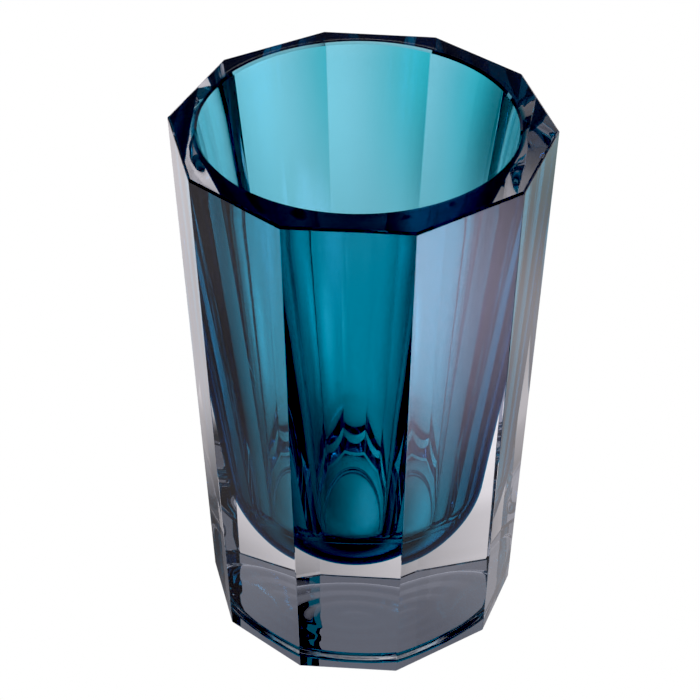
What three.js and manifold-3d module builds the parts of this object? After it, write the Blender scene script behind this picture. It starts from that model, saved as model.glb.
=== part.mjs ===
// A heavy ten-sided vase of cut crystal: a clear casing, ground flat on ten sides, fused round a
// lining of teal glass. Millimetres, +Z up. The vase stands on z = 0 with its axis on x = y = 0.

import * as THREE from "three";
import { mergeVertices, toCreasedNormals } from "three/addons/utils/BufferGeometryUtils.js";
import Module from "manifold-3d";

// Driving dimensions
const HEIGHT = 250;
const RIM_ACROSS_FLATS = 158; // between opposite ground sides, at the rim
const BASE_ACROSS_FLATS = 133; // the same, at the base
const FACET_TURN = -4.69; // degrees, from X to the first corner between two sides
const RIM_CHAMFER = 0.8; // the rim's outer edge
const BASE_CHAMFER = 1.2; // the edge that the vase stands inside

// Each side is ground by eye: degrees that it is turned off an even ten-sided figure, and how much
// deeper than the others it is ground at the base.
const SIDE_DRIFTS = [
  { turn: -2 },
  { turn: -2 },
  { turn: -1 },
  { turn: -0.5 },
  { turn: 2.5 },
  { turn: 3 },
  { turn: 3, deeper: 1.5 },
  { turn: 0 },
  { turn: -2 },
  { turn: -0.5 },
];

// The hollow, and the coloured lining round it
const RIM_WALL = 10.7; // both layers of glass together, from the sides' flats to the bore
const FLOOR_RADIUS = 32; // where the straight wall would reach the floor
const FLOOR_HEIGHT = 41.5; // the middle of the floor, above the base
const BOWL_HEIGHT = 28; // the rounded corner between the wall and the floor
const BOWL_POWER = 2.1; // 2 is an elliptical corner, more is a squarer one
const BORE_CENTRE = { x: -1.8, y: 2.6 }; // the hollow is slightly off the sides' centre
const LINING_WALL = 3;
const LINING_CHAMFER = 1; // the bore's edge at the rim
const JOINT_GAP = 0.3; // kept between the lining and the casing

// The dished underside, inside the ring that the vase stands on
const STANDING_RING = 10.5; // from the sides' flats to the dish
const DISH_DEPTH = 3.4;
const DISH_EDGE = 7; // width of the edge, which curves in and out again like an S
const DISH_EDGE_SHARE = 0.85; // of the depth, reached at the edge's inner side

// How finely round faces are divided
const ROUND_STEPS = 64;
const WALL_STEPS = 4;
const BOWL_STEPS = 10;
const DISH_EDGE_STEPS = 8;
const DISH_BED_STEPS = 4;

const CREASE_ANGLE = Math.PI / 10; // faces that meet at more than this are shaded as an edge

const CLEAR_OF = 5; // how far a cutting solid reaches past what it cuts

const boreRadius = RIM_ACROSS_FLATS / 2 - RIM_WALL;
const dishRadius = BASE_ACROSS_FLATS / 2 - STANDING_RING;

const wasm = await Module();
wasm.setup();

function solidFrom(geometry) {
  const bare = geometry.clone();
  bare.deleteAttribute("normal");
  bare.deleteAttribute("uv");
  const merged = mergeVertices(bare, 1e-4);
  return new wasm.Manifold(
    new wasm.Mesh({
      numProp: 3,
      vertProperties: merged.attributes.position.array,
      triVerts: new Uint32Array(merged.index.array),
    }),
  );
}

function geometryFrom(solid) {
  const { vertProperties, triVerts } = solid.getMesh();
  const geometry = new THREE.BufferGeometry();
  geometry.setAttribute("position", new THREE.BufferAttribute(vertProperties, 3));
  geometry.setIndex(new THREE.BufferAttribute(triVerts, 1));
  return toCreasedNormals(geometry, CREASE_ANGLE);
}

// A profile of [radius, height] pairs, turned round the Z axis.
function turned(profile) {
  const points = profile.map(([radius, z]) => new THREE.Vector2(radius, z));
  return new THREE.LatheGeometry(points, ROUND_STEPS).rotateX(Math.PI / 2);
}

// What a grinding wheel takes off: a block whose face passes through a point, the block lying on
// the side that the normal points to.
function groundAway(point, normal) {
  const reach = 2 * Math.hypot(HEIGHT, RIM_ACROSS_FLATS);
  const block = new THREE.BoxGeometry(reach, reach, reach).translate(0, 0, reach / 2);
  const facing = new THREE.Quaternion().setFromUnitVectors(new THREE.Vector3(0, 0, 1), normal);
  block.applyQuaternion(facing).translate(point.x, point.y, point.z);
  return solidFrom(block);
}

// The tall block with its sloping sides and its two chamfered edges.
function facetedBlock() {
  const blankRadius = Math.max(RIM_ACROSS_FLATS, BASE_ACROSS_FLATS);
  const blank = new THREE.CylinderGeometry(blankRadius, blankRadius, HEIGHT, ROUND_STEPS);
  let block = solidFrom(blank.rotateX(Math.PI / 2).translate(0, 0, HEIGHT / 2));
  const pitch = 360 / SIDE_DRIFTS.length;

  SIDE_DRIFTS.forEach(({ turn, deeper = 0 }, side) => {
    const degrees = 180 + FACET_TURN - (side + 0.5) * pitch + turn;
    const bearing = THREE.MathUtils.degToRad(degrees);
    const outward = new THREE.Vector3(Math.cos(bearing), Math.sin(bearing), 0);
    const up = new THREE.Vector3(0, 0, 1);
    const atRim = outward.clone().multiplyScalar(RIM_ACROSS_FLATS / 2).setZ(HEIGHT);
    const atBase = outward.clone().multiplyScalar(BASE_ACROSS_FLATS / 2 - deeper);
    const slope = atRim.clone().sub(atBase);
    const facing = outward.clone().multiplyScalar(slope.z).setZ(-slope.dot(outward)).normalize();

    block = block.subtract(groundAway(atBase, facing));

    const rimEdge = atRim.addScaledVector(outward, -RIM_CHAMFER);
    block = block.subtract(groundAway(rimEdge, outward.clone().add(up).normalize()));

    const baseEdge = atBase.addScaledVector(outward, -BASE_CHAMFER);
    block = block.subtract(groundAway(baseEdge, outward.clone().sub(up).normalize()));
  });
  return block;
}

// The hollow's wall as a profile from the middle of its floor up to the rim, moved outwards by a
// thickness: a straight taper, rounded into the floor.
function wallProfile(outwards) {
  const taper = (boreRadius - FLOOR_RADIUS) / (HEIGHT - FLOOR_HEIGHT);
  const straightRadius = (z) => FLOOR_RADIUS + outwards + taper * (z - FLOOR_HEIGHT);
  const floor = FLOOR_HEIGHT - outwards;
  const bowl = BOWL_HEIGHT + outwards;
  const profile = [[0, floor]];

  for (let step = 1; step <= BOWL_STEPS; step++) {
    const angle = ((Math.PI / 2) * step) / BOWL_STEPS;
    const z = floor + bowl * (1 - Math.cos(angle) ** (2 / BOWL_POWER));
    profile.push([straightRadius(z) * Math.sin(angle) ** (2 / BOWL_POWER), z]);
  }
  for (let step = 1; step <= WALL_STEPS; step++) {
    const z = THREE.MathUtils.lerp(floor + bowl, HEIGHT, step / WALL_STEPS);
    profile.push([straightRadius(z), z]);
  }
  return profile;
}

// The dish's profile from the ring that the vase stands on to the middle of the underside: an edge
// curved like an S, then a gentle hollow.
function dishProfile() {
  const edgeDepth = DISH_DEPTH * DISH_EDGE_SHARE;
  const bedDepth = DISH_DEPTH - edgeDepth;
  const innerRadius = dishRadius - DISH_EDGE;
  const profile = [];

  for (let step = 0; step <= DISH_EDGE_STEPS; step++) {
    const inwards = step / DISH_EDGE_STEPS;
    profile.push([
      dishRadius - DISH_EDGE * inwards,
      edgeDepth * THREE.MathUtils.smoothstep(inwards, 0, 1),
    ]);
  }
  for (let step = 1; step <= DISH_BED_STEPS; step++) {
    const across = 1 - step / DISH_BED_STEPS;
    profile.push([innerRadius * across, edgeDepth + bedDepth * (1 - across ** 2)]);
  }
  return profile;
}

// The clear glass: the faceted block, hollowed for the lining and dished underneath.
function crystalCasing() {
  const wall = wallProfile(LINING_WALL);
  const [rimRadius] = wall.at(-1);
  const hollow = turned([...wall, [rimRadius, HEIGHT + CLEAR_OF], [0, HEIGHT + CLEAR_OF]]);
  hollow.translate(BORE_CENTRE.x, BORE_CENTRE.y, 0);
  const dish = turned([[0, -CLEAR_OF], [dishRadius, -CLEAR_OF], ...dishProfile()]);
  return geometryFrom(facetedBlock().subtract(solidFrom(hollow)).subtract(solidFrom(dish)));
}

// The teal glass: an even skin round the hollow, with the bore's edge chamfered at the rim.
function tealLining() {
  const outside = wallProfile(LINING_WALL - JOINT_GAP);
  const inside = wallProfile(0).slice(0, -1);
  const chamfer = [
    [boreRadius + LINING_CHAMFER, HEIGHT],
    [boreRadius, HEIGHT - LINING_CHAMFER],
  ];
  return turned([...outside, ...chamfer, ...inside.reverse()]);
}

const clearGlass = new THREE.MeshStandardMaterial({
  color: 0xe6e9ee,
  roughness: 0.02,
  metalness: 0,
  transparent: true,
  opacity: 0.35,
});
const tealGlass = new THREE.MeshStandardMaterial({
  color: 0x0a7f99,
  roughness: 0.02,
  metalness: 0,
  transparent: true,
  opacity: 0.6,
});

const casing = new THREE.Mesh(crystalCasing(), clearGlass);
casing.name = "crystal_casing";

const lining = new THREE.Mesh(tealLining(), tealGlass);
lining.name = "teal_lining";
lining.position.set(BORE_CENTRE.x, BORE_CENTRE.y, 0);

const group = new THREE.Group();
group.add(casing, lining);
export default group;
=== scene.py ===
import math

import bmesh
import bpy
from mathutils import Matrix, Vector


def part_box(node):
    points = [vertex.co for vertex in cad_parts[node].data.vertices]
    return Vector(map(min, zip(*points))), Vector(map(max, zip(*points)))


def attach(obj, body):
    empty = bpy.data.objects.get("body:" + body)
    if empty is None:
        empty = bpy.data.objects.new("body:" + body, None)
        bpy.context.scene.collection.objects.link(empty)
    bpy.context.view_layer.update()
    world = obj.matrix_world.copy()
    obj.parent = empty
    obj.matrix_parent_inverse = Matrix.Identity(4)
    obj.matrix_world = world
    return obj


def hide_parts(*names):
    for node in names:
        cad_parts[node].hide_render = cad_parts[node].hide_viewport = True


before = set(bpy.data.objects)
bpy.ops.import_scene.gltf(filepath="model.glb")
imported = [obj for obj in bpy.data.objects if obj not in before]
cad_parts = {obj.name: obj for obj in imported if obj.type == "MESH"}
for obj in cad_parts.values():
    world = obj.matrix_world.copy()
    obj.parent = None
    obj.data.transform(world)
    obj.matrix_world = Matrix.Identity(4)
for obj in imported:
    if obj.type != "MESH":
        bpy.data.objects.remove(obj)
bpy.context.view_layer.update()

# ---------------------------------------------------------------------------------------------
# The camera. A long lens, without roll, that looks down into the mouth from the front, so that it
# shows both the hollow and the sides of the tall vase.
camera_elevation = math.radians(36.41)
camera_distance = 1.1945
camera_aim = Vector((-0.00537, 0.0, 0.13292))
lens_length = 137.25
sensor_width = 36.0
nearest_seen, farthest_seen = 0.01, 50.0

camera_data = bpy.data.cameras.new("camera")
camera_data.lens = lens_length
camera_data.sensor_width = sensor_width
camera_data.clip_start = nearest_seen
camera_data.clip_end = farthest_seen
camera = bpy.data.objects.new("camera", camera_data)
bpy.context.scene.collection.objects.link(camera)
bpy.context.scene.camera = camera

towards_camera = Vector((0.0, -math.cos(camera_elevation), math.sin(camera_elevation)))
camera.location = camera_aim + towards_camera * camera_distance
camera.rotation_euler = (math.pi / 2 - camera_elevation, 0.0, 0.0)

# ---------------------------------------------------------------------------------------------
# The pale floor. A white sweep that glows, with soft uneven light and shade painted into its glow:
# brightest behind the vase, painted shade in broad patches on both sides of it, with a painted pool
# of cool lamp light at the right. The glass mirrors and bends all of it, so this is what draws the
# stripes in the sides.
floor_half_width = 4.0
floor_drop = 0.0004
front_light, back_light = 0.6, 0.83
front_reach, back_reach = -0.6, 0.8
brightest_towards = (0.45, 0.89, 0.0)
painted_light_green, painted_light_blue = 1.0, 1.04
painted_pool_tint = (1.1, 1.0, 1.4)
plain_white = (1.0, 1.0, 1.0)


def soft_patch_group():
    """A round patch on the floor with a soft edge: one value inside it, another outside it."""
    group = bpy.data.node_groups.new("soft_patch", "ShaderNodeTree")
    ports = group.interface
    ports.new_socket("Coordinates", in_out="INPUT", socket_type="NodeSocketVector")
    ports.new_socket("Centre", in_out="INPUT", socket_type="NodeSocketVector")
    ports.new_socket("Inner Radius", in_out="INPUT", socket_type="NodeSocketFloat")
    ports.new_socket("Outer Radius", in_out="INPUT", socket_type="NodeSocketFloat")
    ports.new_socket("Inside", in_out="INPUT", socket_type="NodeSocketFloat")
    ports.new_socket("Outside", in_out="INPUT", socket_type="NodeSocketFloat")
    ports.new_socket("Value", in_out="OUTPUT", socket_type="NodeSocketFloat")
    given = group.nodes.new("NodeGroupInput")
    result = group.nodes.new("NodeGroupOutput")
    away = group.nodes.new("ShaderNodeVectorMath")
    away.operation = "DISTANCE"
    group.links.new(given.outputs["Coordinates"], away.inputs[0])
    group.links.new(given.outputs["Centre"], away.inputs[1])
    fade = group.nodes.new("ShaderNodeMapRange")
    fade.interpolation_type = "SMOOTHSTEP"
    group.links.new(away.outputs["Value"], fade.inputs["Value"])
    group.links.new(given.outputs["Inner Radius"], fade.inputs["From Min"])
    group.links.new(given.outputs["Outer Radius"], fade.inputs["From Max"])
    group.links.new(given.outputs["Inside"], fade.inputs["To Min"])
    group.links.new(given.outputs["Outside"], fade.inputs["To Max"])
    group.links.new(fade.outputs["Result"], result.inputs["Value"])
    return group


floor_mesh = bmesh.new()
bmesh.ops.create_grid(floor_mesh, x_segments=1, y_segments=1, size=floor_half_width)
bmesh.ops.translate(floor_mesh, vec=(0.0, 0.0, -floor_drop), verts=floor_mesh.verts)
floor_data = bpy.data.meshes.new("floor")
floor_mesh.to_mesh(floor_data)
floor_mesh.free()
floor = bpy.data.objects.new("floor", floor_data)
bpy.context.scene.collection.objects.link(floor)

floor_material = bpy.data.materials.new("pale_floor")
floor_material.use_nodes = True
nodes, links = floor_material.node_tree.nodes, floor_material.node_tree.links
nodes.clear()
place = nodes.new("ShaderNodeTexCoord")
soft_patch = soft_patch_group()


def patch_value(centre, inner, outer, inside, outside):
    """The value of one soft patch, as a socket of the floor's material."""
    patch = nodes.new("ShaderNodeGroup")
    patch.node_tree = soft_patch
    patch.inputs["Centre"].default_value = (*centre, 0.0)
    patch.inputs["Inner Radius"].default_value = inner
    patch.inputs["Outer Radius"].default_value = outer
    patch.inputs["Inside"].default_value = inside
    patch.inputs["Outside"].default_value = outside
    links.new(place.outputs["Object"], patch.inputs["Coordinates"])
    return patch.outputs["Value"]


def joined(operation, first, second):
    """Two of the material's values, put together."""
    pair = nodes.new("ShaderNodeMath")
    pair.operation = operation
    links.new(first, pair.inputs[0])
    links.new(second, pair.inputs[1])
    return pair.outputs["Value"]


# painted light, from the dimmer front to the bright back
bearing = nodes.new("ShaderNodeVectorMath")
bearing.operation = "NORMALIZE"
links.new(place.outputs["Object"], bearing.inputs[0])
backwards = nodes.new("ShaderNodeVectorMath")
backwards.operation = "DOT_PRODUCT"
backwards.inputs[1].default_value = brightest_towards
links.new(bearing.outputs["Vector"], backwards.inputs[0])
spread = nodes.new("ShaderNodeMapRange")
spread.interpolation_type = "SMOOTHSTEP"
spread.inputs["From Min"].default_value = front_reach
spread.inputs["From Max"].default_value = back_reach
spread.inputs["To Min"].default_value = front_light
spread.inputs["To Max"].default_value = back_light
links.new(backwards.outputs["Value"], spread.inputs["Value"])

# painted shade: broad shade on the right, the vase's own shadow painted behind it, shade on the
# left, in front and round the foot, and the dark under its front half
painted_light = spread.outputs["Result"]
for shade in (
    patch_value(centre=(0.23, 0.02), inner=0.0, outer=0.22, inside=0.05, outside=1.0),
    patch_value(centre=(0.19, 0.29), inner=0.0, outer=0.15, inside=0.3, outside=1.0),
    patch_value(centre=(-0.065, 0.03), inner=0.0, outer=0.13, inside=0.15, outside=1.0),
    patch_value(centre=(-0.23, 0.045), inner=0.0, outer=0.15, inside=0.3, outside=1.0),
    patch_value(centre=(-0.05, -0.29), inner=0.0, outer=0.31, inside=0.0, outside=1.0),
    patch_value(centre=(0.0, 0.0), inner=0.1, outer=0.12, inside=0.8, outside=1.0),
    patch_value(centre=(0.0, -0.08), inner=0.05, outer=0.09, inside=0.05, outside=1.0),
):
    painted_light = joined("MULTIPLY", painted_light, shade)

# painted light: two lighter places behind the vase, the light that gathers under it, and a painted
# pool of lamp light
for light in (
    patch_value(centre=(-0.1, 0.38), inner=0.0, outer=0.17, inside=0.27, outside=0.0),
    patch_value(centre=(-0.06, 0.13), inner=0.0, outer=0.05, inside=0.48, outside=0.0),
    patch_value(centre=(0.03, 0.02), inner=0.0, outer=0.045, inside=0.28, outside=0.0),
):
    painted_light = joined("ADD", painted_light, light)
painted_lamp_pool = patch_value(centre=(0.25, -0.28), inner=0.11, outer=0.24, inside=3.1, outside=0.0)

# the painted shadow behind is teal, as the light in it came through the vase: it lacks red
painted_light_tint = nodes.new("ShaderNodeCombineXYZ")
painted_light_tint.inputs["Y"].default_value = painted_light_green
painted_light_tint.inputs["Z"].default_value = painted_light_blue
red_share = patch_value(centre=(0.17, 0.41), inner=0.03, outer=0.22, inside=0.3, outside=1.05)
links.new(red_share, painted_light_tint.inputs["X"])

# seen directly the floor is plain white; to the glass it glows with the painted light, shade and
# lamp pool
painted_light_colour = nodes.new("ShaderNodeVectorMath")
painted_light_colour.operation = "SCALE"
links.new(painted_light_tint.outputs["Vector"], painted_light_colour.inputs[0])
links.new(painted_light, painted_light_colour.inputs["Scale"])
painted_pool_colour = nodes.new("ShaderNodeVectorMath")
painted_pool_colour.operation = "SCALE"
painted_pool_colour.inputs[0].default_value = painted_pool_tint
links.new(painted_lamp_pool, painted_pool_colour.inputs["Scale"])
both_colours = nodes.new("ShaderNodeVectorMath")
both_colours.operation = "ADD"
links.new(painted_light_colour.outputs["Vector"], both_colours.inputs[0])
links.new(painted_pool_colour.outputs["Vector"], both_colours.inputs[1])
ray = nodes.new("ShaderNodeLightPath")
floor_colour = nodes.new("ShaderNodeMix")
floor_colour.data_type = "VECTOR"
floor_colour.inputs[5].default_value = plain_white
links.new(ray.outputs["Is Camera Ray"], floor_colour.inputs["Factor"])
links.new(both_colours.outputs["Vector"], floor_colour.inputs[4])
glow = nodes.new("ShaderNodeEmission")
glow.inputs["Strength"].default_value = 1.0
links.new(floor_colour.outputs[1], glow.inputs["Color"])
floor_out = nodes.new("ShaderNodeOutputMaterial")
links.new(glow.outputs["Emission"], floor_out.inputs["Surface"])
floor_data.materials.append(floor_material)

# ---------------------------------------------------------------------------------------------
# The room. Grey walls up to half height, a darker ceiling, and the left side in shadow. Behind
# it all, where the camera sees it directly, is the white backdrop.
wall_light = 0.3
ceiling_light = 0.16
ceiling_from, ceiling_to = 0.4, 0.68
left_from, left_to = -1.0, -0.5
left_share = 0.22
room_tint = (0.97, 1.0, 1.2, 1.0)

world = bpy.data.worlds.new("room")
bpy.context.scene.world = world
world.use_nodes = True
nodes, links = world.node_tree.nodes, world.node_tree.links
background = nodes["Background"]
heading = nodes.new("ShaderNodeTexCoord")
parts_of = nodes.new("ShaderNodeSeparateXYZ")
links.new(heading.outputs["Generated"], parts_of.inputs["Vector"])
fade = nodes.new("ShaderNodeMapRange")
fade.interpolation_type = "SMOOTHSTEP"
fade.inputs["From Min"].default_value = ceiling_from
fade.inputs["From Max"].default_value = ceiling_to
fade.inputs["To Min"].default_value = wall_light
fade.inputs["To Max"].default_value = ceiling_light
links.new(parts_of.outputs["Z"], fade.inputs["Value"])
left_shadow = nodes.new("ShaderNodeMapRange")
left_shadow.interpolation_type = "SMOOTHSTEP"
left_shadow.inputs["From Min"].default_value = left_from
left_shadow.inputs["From Max"].default_value = left_to
left_shadow.inputs["To Min"].default_value = left_share
left_shadow.inputs["To Max"].default_value = 1.0
links.new(parts_of.outputs["X"], left_shadow.inputs["Value"])
shaded = nodes.new("ShaderNodeMath")
shaded.operation = "MULTIPLY"
links.new(fade.outputs["Result"], shaded.inputs[0])
links.new(left_shadow.outputs["Result"], shaded.inputs[1])
seen = nodes.new("ShaderNodeLightPath")
room = nodes.new("ShaderNodeMix")
room.data_type = "FLOAT"
room.inputs["B"].default_value = 1.0
links.new(seen.outputs["Is Camera Ray"], room.inputs["Factor"])
links.new(shaded.outputs["Value"], room.inputs["A"])
links.new(room.outputs["Result"], background.inputs["Strength"])
background.inputs["Color"].default_value = room_tint

# ---------------------------------------------------------------------------------------------
# The exposure. True colours, with the faintest light taken down to black, and enough bounces for
# light that runs round inside the thick glass before it comes out.
taken_as_black = 0.022
glass_bounces = 40
mirror_bounces = 16

scene = bpy.context.scene
scene.view_settings.view_transform = "Standard"
scene.view_settings.use_curve_mapping = True
scene.view_settings.curve_mapping.black_level = (taken_as_black,) * 3
scene.cycles.max_bounces = glass_bounces
scene.cycles.transmission_bounces = glass_bounces
scene.cycles.glossy_bounces = mirror_bounces
scene.cycles.transparent_max_bounces = mirror_bounces
scene.cycles.sample_clamp_indirect = 10.0
scene.cycles.blur_glossy = 0.0
scene.cycles.sampling_pattern = "TABULATED_SOBOL"

# ---------------------------------------------------------------------------------------------
# The crystal casing. Thick clear glass, ground flat on ten sides by hand and polished, with a
# flat rim, a deep hollow for the lining and a shallow dish turned into its underside.
mm = 0.001
touching = 0.001 * mm
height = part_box("crystal_casing")[1].z
blank_width = 400.0 * mm
rim_apothem = 79.0 * mm
base_apothem = 66.5 * mm
first_corner = math.radians(-4.69)
side_turns = (-2.0, -2.0, -1.0, -0.5, 2.5, 3.0, 3.0, 0.0, -2.0, -0.5)
deeper_side, deeper_by = 6, 1.5 * mm
rim_chamfer = 0.8 * mm
base_chamfer = 1.2 * mm
edge_softening = 0.25 * mm

bore_radius = 68.3 * mm
floor_radius = 32.0 * mm
floor_height = 41.5 * mm
bowl_height = 28.0 * mm
bowl_power = 2.1
bowl_steps, wall_steps = 40, 24
bore_centre = Vector((-1.8 * mm, 2.6 * mm, 0.0))
lining_wall = 3.0 * mm
round_steps = 224

dish_radius = 56.0 * mm
dish_depth = 3.4 * mm
dish_edge_share = 0.85
dish_edge_width = 7.0 * mm
dish_steps = 76
dish_rings = ((0.03 * mm, 14.0 * mm), (0.003 * mm, 5.0 * mm))
crisp_angle = math.radians(20)


def hollow_profile(outwards):
    """(radius, height) from the middle of the hollow's floor up to the rim: a straight taper,
    rounded into the floor, and moved outwards by a thickness."""
    taper = (bore_radius - floor_radius) / (height - floor_height)
    floor_level = floor_height - outwards
    bowl = bowl_height + outwards
    profile = []
    for step in range(bowl_steps + 1):
        angle = math.pi / 2 * step / bowl_steps
        z = floor_level + bowl * (1.0 - max(math.cos(angle), 0.0) ** (2.0 / bowl_power))
        straight = floor_radius + outwards + taper * (z - floor_height)
        profile.append((straight * math.sin(angle) ** (2.0 / bowl_power), z))
    for step in range(1, wall_steps + 1):
        z = floor_level + bowl + (height - floor_level - bowl) * step / wall_steps
        profile.append((floor_radius + outwards + taper * (z - floor_height), z))
    return profile


def corners_of(faces):
    """The corners of some faces, each of them once, always in the same order."""
    return list(dict.fromkeys(vert for face in faces for vert in face.verts))


def turn_on_lathe(mesh, profile, centre):
    """Spins a profile into the mesh round the upright axis through a centre. Returns its faces."""
    others = set(mesh.faces)
    verts = [mesh.verts.new((radius, 0.0, z)) for radius, z in profile]
    edges = [mesh.edges.new(pair) for pair in zip(verts, verts[1:])]
    bmesh.ops.spin(
        mesh, geom=verts + edges, cent=(0, 0, 0), axis=(0, 0, 1),
        angle=math.tau, steps=round_steps, use_merge=True,
    )
    new_faces = [face for face in mesh.faces if face not in others]
    bmesh.ops.remove_doubles(mesh, verts=corners_of(new_faces), dist=touching)
    new_faces = [face for face in mesh.faces if face not in others]
    bmesh.ops.translate(mesh, vec=centre, verts=corners_of(new_faces))
    for face in new_faces:
        face.smooth = True
    return new_faces


def keep_arrises_crisp(mesh):
    """Marks the edges between faces that meet at a clear angle, so that only the round walls
    are shaded as smooth."""
    for edge in mesh.edges:
        edge.smooth = edge.is_manifold and edge.calc_face_angle() < crisp_angle


# the block, with a slice ground off for each side
casing_mesh = bmesh.new()
casing_joint = casing_mesh.faces.layers.float.new("joint_face")
bmesh.ops.create_cube(casing_mesh, size=1.0)
bmesh.ops.scale(casing_mesh, vec=(blank_width, blank_width, height), verts=casing_mesh.verts)
bmesh.ops.translate(casing_mesh, vec=(0.0, 0.0, height / 2), verts=casing_mesh.verts)
pitch = math.tau / len(side_turns)
for side, turn in enumerate(side_turns):
    bearing_angle = math.pi + first_corner - (side + 0.5) * pitch + math.radians(turn)
    outward = Vector((math.cos(bearing_angle), math.sin(bearing_angle), 0.0))
    at_base = outward * (base_apothem - (deeper_by if side == deeper_side else 0.0))
    at_rim = outward * rim_apothem + Vector((0.0, 0.0, height))
    slope = at_rim - at_base
    facing = outward * slope.z - Vector((0.0, 0.0, slope.dot(outward)))
    cut = bmesh.ops.bisect_plane(
        casing_mesh, geom=casing_mesh.verts[:] + casing_mesh.edges[:] + casing_mesh.faces[:],
        plane_co=at_base, plane_no=facing.normalized(), clear_outer=True,
    )
    cut_edges = [item for item in cut["geom_cut"] if isinstance(item, bmesh.types.BMEdge)]
    bmesh.ops.contextual_create(casing_mesh, geom=cut_edges)
bmesh.ops.recalc_face_normals(casing_mesh, faces=casing_mesh.faces)

# the chamfers at the rim and the base, then a hair of softness along every arris
for level, width in ((height, rim_chamfer), (0.0, base_chamfer)):
    ring = [
        edge for edge in casing_mesh.edges
        if all(abs(vert.co.z - level) < touching for vert in edge.verts)
    ]
    bmesh.ops.bevel(
        casing_mesh, geom=ring, offset=width, segments=1, profile=0.5,
        affect="EDGES", material=-1,
    )
bmesh.ops.bevel(
    casing_mesh, geom=casing_mesh.edges[:], offset=edge_softening, segments=2, profile=0.5,
    affect="EDGES", material=-1,
)

# the ends are opened, the hollow and the dish are turned, and the ends are closed round them
ends = [
    face for face in casing_mesh.faces
    if all(min(abs(vert.co.z - height), abs(vert.co.z)) < touching for vert in face.verts)
    and abs(face.normal.z) > 0.99
]
bmesh.ops.delete(casing_mesh, geom=ends, context="FACES_ONLY")
joint_wall = turn_on_lathe(casing_mesh, hollow_profile(lining_wall), bore_centre)
for face in joint_wall:
    face[casing_joint] = 1.0

# the dish's edge rises in an S, its bed is nearly flat, and the polishing wheel has left faint rings
dish_profile = []
for step in range(dish_steps + 1):
    radius = dish_radius * (1.0 - step / dish_steps)
    inwards = min((dish_radius - radius) / dish_edge_width, 1.0)
    edge_rise = inwards * inwards * (3.0 - 2.0 * inwards)
    bed_rise = 1.0 - min(radius / (dish_radius - dish_edge_width), 1.0) ** 2
    rings = sum(tall * math.sin(math.tau * radius / apart) for tall, apart in dish_rings)
    z = dish_depth * (dish_edge_share * edge_rise + (1.0 - dish_edge_share) * bed_rise)
    z += rings * edge_rise
    dish_profile.append((radius, z if step else 0.0))
turn_on_lathe(casing_mesh, dish_profile, Vector((0.0, 0.0, 0.0)))

for level, facing_z in ((height, 1.0), (0.0, -1.0)):
    open_edges = [
        edge for edge in casing_mesh.edges
        if edge.is_boundary and abs(edge.verts[0].co.z - level) < 10 * touching
    ]
    bmesh.ops.triangle_fill(
        casing_mesh, use_beauty=True, use_dissolve=False, edges=open_edges,
        normal=(0.0, 0.0, facing_z),
    )
bmesh.ops.recalc_face_normals(casing_mesh, faces=casing_mesh.faces)
keep_arrises_crisp(casing_mesh)

casing_data = bpy.data.meshes.new("cut_casing")
casing_mesh.to_mesh(casing_data)
casing_mesh.free()
casing = bpy.data.objects.new("cut_casing", casing_data)
bpy.context.scene.collection.objects.link(casing)


streak_stretch = (1.0, 1.0, 0.08)
glass_index = 1.55
polish_relief = 0.1 * mm


def hand_polish_group():
    """What a felt wheel leaves on hand-polished glass: a slow swell of the surface and fine
    upright streaks. It puts out a height from 0 to 1."""
    group = bpy.data.node_groups.new("hand_polish", "ShaderNodeTree")
    ends_of = group.interface
    ends_of.new_socket("Coordinates", in_out="INPUT", socket_type="NodeSocketVector")
    ends_of.new_socket("Swell Scale", in_out="INPUT", socket_type="NodeSocketFloat")
    ends_of.new_socket("Streak Scale", in_out="INPUT", socket_type="NodeSocketFloat")
    ends_of.new_socket("Streak Share", in_out="INPUT", socket_type="NodeSocketFloat")
    ends_of.new_socket("Height", in_out="OUTPUT", socket_type="NodeSocketFloat")
    inner, wires = group.nodes, group.links
    given = inner.new("NodeGroupInput")
    result = inner.new("NodeGroupOutput")
    swell = inner.new("ShaderNodeTexNoise")
    swell.inputs["Detail"].default_value = 1.0
    wires.new(given.outputs["Coordinates"], swell.inputs["Vector"])
    wires.new(given.outputs["Swell Scale"], swell.inputs["Scale"])
    stretch = inner.new("ShaderNodeVectorMath")
    stretch.operation = "MULTIPLY"
    stretch.inputs[1].default_value = streak_stretch
    wires.new(given.outputs["Coordinates"], stretch.inputs[0])
    streaks = inner.new("ShaderNodeTexNoise")
    streaks.inputs["Detail"].default_value = 1.0
    wires.new(stretch.outputs["Vector"], streaks.inputs["Vector"])
    wires.new(given.outputs["Streak Scale"], streaks.inputs["Scale"])
    both = inner.new("ShaderNodeMix")
    both.data_type = "FLOAT"
    wires.new(given.outputs["Streak Share"], both.inputs["Factor"])
    wires.new(swell.outputs["Fac"], both.inputs["A"])
    wires.new(streaks.outputs["Fac"], both.inputs["B"])
    wires.new(both.outputs["Result"], result.inputs["Height"])
    return group


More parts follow.
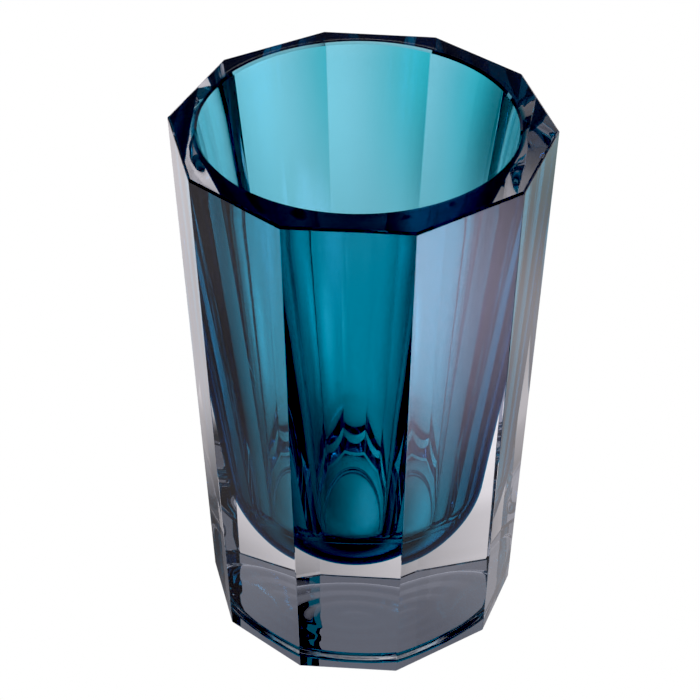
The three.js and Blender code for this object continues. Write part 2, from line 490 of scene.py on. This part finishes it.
def glass_material(name, absorbs, density, swell_scale, streak_scale, streak_share):
    """Polished glass. At the fused joint between the layers light goes straight on, so there its
    index of refraction is 1."""
    material = bpy.data.materials.new(name)
    material.use_nodes = True
    tree = material.node_tree
    surface = tree.nodes["Principled BSDF"]
    surface.inputs["Base Color"].default_value = (1.0, 1.0, 1.0, 1.0)
    surface.inputs["Roughness"].default_value = 0.0
    surface.inputs["Transmission Weight"].default_value = 1.0
    surface.inputs["IOR"].default_value = glass_index

    fused = tree.nodes.new("ShaderNodeAttribute")
    fused.attribute_name = "joint_face"
    index = tree.nodes.new("ShaderNodeMapRange")
    index.inputs["To Min"].default_value = glass_index
    index.inputs["To Max"].default_value = 1.0
    tree.links.new(fused.outputs["Fac"], index.inputs["Value"])
    tree.links.new(index.outputs["Result"], surface.inputs["IOR"])

    own_place = tree.nodes.new("ShaderNodeTexCoord")
    polish = tree.nodes.new("ShaderNodeGroup")
    polish.node_tree = hand_polish
    polish.inputs["Swell Scale"].default_value = swell_scale
    polish.inputs["Streak Scale"].default_value = streak_scale
    polish.inputs["Streak Share"].default_value = streak_share
    tree.links.new(own_place.outputs["Object"], polish.inputs["Coordinates"])
    relief = tree.nodes.new("ShaderNodeBump")
    relief.inputs["Strength"].default_value = 1.0
    relief.inputs["Distance"].default_value = polish_relief
    tree.links.new(polish.outputs["Height"], relief.inputs["Height"])
    tree.links.new(relief.outputs["Normal"], surface.inputs["Normal"])

    depth_of_colour = tree.nodes.new("ShaderNodeVolumeAbsorption")
    depth_of_colour.inputs["Color"].default_value = absorbs
    depth_of_colour.inputs["Density"].default_value = density
    tree.links.new(
        depth_of_colour.outputs["Volume"], tree.nodes["Material Output"].inputs["Volume"]
    )
    return material


hand_polish = hand_polish_group()
clear_crystal = glass_material(
    "clear_crystal", absorbs=(0.75, 0.8, 0.9, 1.0), density=1.2,
    swell_scale=28.0, streak_scale=180.0, streak_share=0.01,
)
casing_data.materials.append(clear_crystal)
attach(casing, "root")
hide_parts("crystal_casing")

# ---------------------------------------------------------------------------------------------
# The colour lining. An even layer of teal glass blown inside the clear gather and fused to it,
# with its edge at the mouth ground to a narrow chamfer.
lining_chamfer = 1.0 * mm
joint_gap = 0.05 * mm

lining_mesh = bmesh.new()
lining_joint = lining_mesh.faces.layers.float.new("joint_face")
outer_wall = turn_on_lathe(lining_mesh, hollow_profile(lining_wall - joint_gap), bore_centre)
for face in outer_wall:
    face[lining_joint] = 1.0

inner_profile = hollow_profile(0.0)[:-1]
inner_profile.append((bore_radius, height - lining_chamfer))
inner_wall = turn_on_lathe(lining_mesh, inner_profile, bore_centre)
mouth_edges = [
    edge for edge in lining_mesh.edges
    if edge.is_boundary and abs(edge.verts[0].co.z - height + lining_chamfer) < touching
]
mouth = bmesh.ops.extrude_edge_only(lining_mesh, edges=mouth_edges)
mouth_verts = [item for item in mouth["geom"] if isinstance(item, bmesh.types.BMVert)]
widening = (bore_radius + lining_chamfer) / bore_radius
bmesh.ops.translate(lining_mesh, vec=-bore_centre, verts=mouth_verts)
bmesh.ops.scale(lining_mesh, vec=(widening, widening, 1.0), verts=mouth_verts)
lift = bore_centre + Vector((0.0, 0.0, lining_chamfer))
bmesh.ops.translate(lining_mesh, vec=lift, verts=mouth_verts)
rim_edges = [edge for edge in lining_mesh.edges if edge.is_boundary]
bmesh.ops.triangle_fill(
    lining_mesh, use_beauty=True, use_dissolve=False, edges=rim_edges, normal=(0.0, 0.0, 1.0)
)
bmesh.ops.recalc_face_normals(lining_mesh, faces=lining_mesh.faces)
keep_arrises_crisp(lining_mesh)

lining_data = bpy.data.meshes.new("colour_lining")
lining_mesh.to_mesh(lining_data)
lining_mesh.free()
lining = bpy.data.objects.new("colour_lining", lining_data)
bpy.context.scene.collection.objects.link(lining)

teal_glass = glass_material(
    "teal_glass", absorbs=(0.0, 0.679, 0.787, 1.0), density=545.0,
    swell_scale=22.0, streak_scale=90.0, streak_share=0.02,
)
lining_data.materials.append(teal_glass)
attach(lining, "root")
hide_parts("teal_lining")
